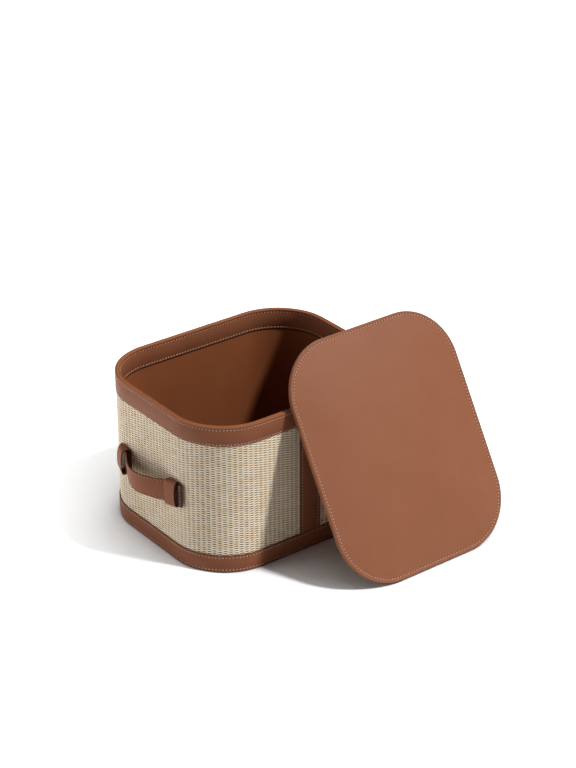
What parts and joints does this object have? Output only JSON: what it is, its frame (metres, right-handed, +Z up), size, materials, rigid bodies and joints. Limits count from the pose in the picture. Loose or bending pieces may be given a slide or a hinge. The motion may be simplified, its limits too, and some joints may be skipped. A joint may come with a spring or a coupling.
{
  "type": "storage box",
  "caption": "Rounded rectangular storage box of woven paper cord bound with stitched leather bands, with strap handles and a loose flat lid leaning on the rim.",
  "frame": {"origin": "centre of the box's underside, on the surface it stands on", "axes": "+Z up, +X along the box's long side, -Y towards the front, the long side that the lid leans on"},
  "size_m": [0.3977, 0.3824, 0.2643],
  "materials": {
    "leather": "smooth tanned leather with a soft sheen and pale stitching",
    "lining": "matt suede-like lining",
    "paper_cord": "plain weave of twisted paper cord",
    "board": "raw fibreboard, hidden",
    "sole": "dark felt"
  },
  "bodies": {
    "box": {"wall_board": "board", "base_board": "board", "sole": "sole", "woven_panel_left": "paper_cord", "woven_panel_right": "paper_cord", "seam_strap_front": "leather", "seam_strap_rear": "leather", "bottom_band": "leather", "top_band": "leather", "rim_strip": "leather", "inner_band": "leather", "wall_lining": "lining", "floor_pad": "lining", "keeper_left_front": "leather", "keeper_left_rear": "leather", "keeper_right_front": "leather", "keeper_right_rear": "leather"},
    "handle_left": {"handle_strap_left": "leather"},
    "handle_right": {"handle_strap_right": "leather"},
    "lid": {"lid_board": "board", "lid_cover": "leather", "lid_lining": "lining", "lid_insert_board": "board", "lid_insert_cover": "lining"}
  },
  "joints": [
    {"name": "lid_lift", "type": "slide", "parent": "box", "child": "lid", "axis": [0, 0, 1], "range_m": [0, 0.22]},
    {"name": "handle_left_slide", "type": "slide", "parent": "box", "child": "handle_left", "axis": [0, 1, 0], "range_m": [0, 0.0045]},
    {"name": "handle_right_slide", "type": "slide", "parent": "box", "child": "handle_right", "axis": [0, 1, 0], "range_m": [0, 0.0045]}
  ]
}
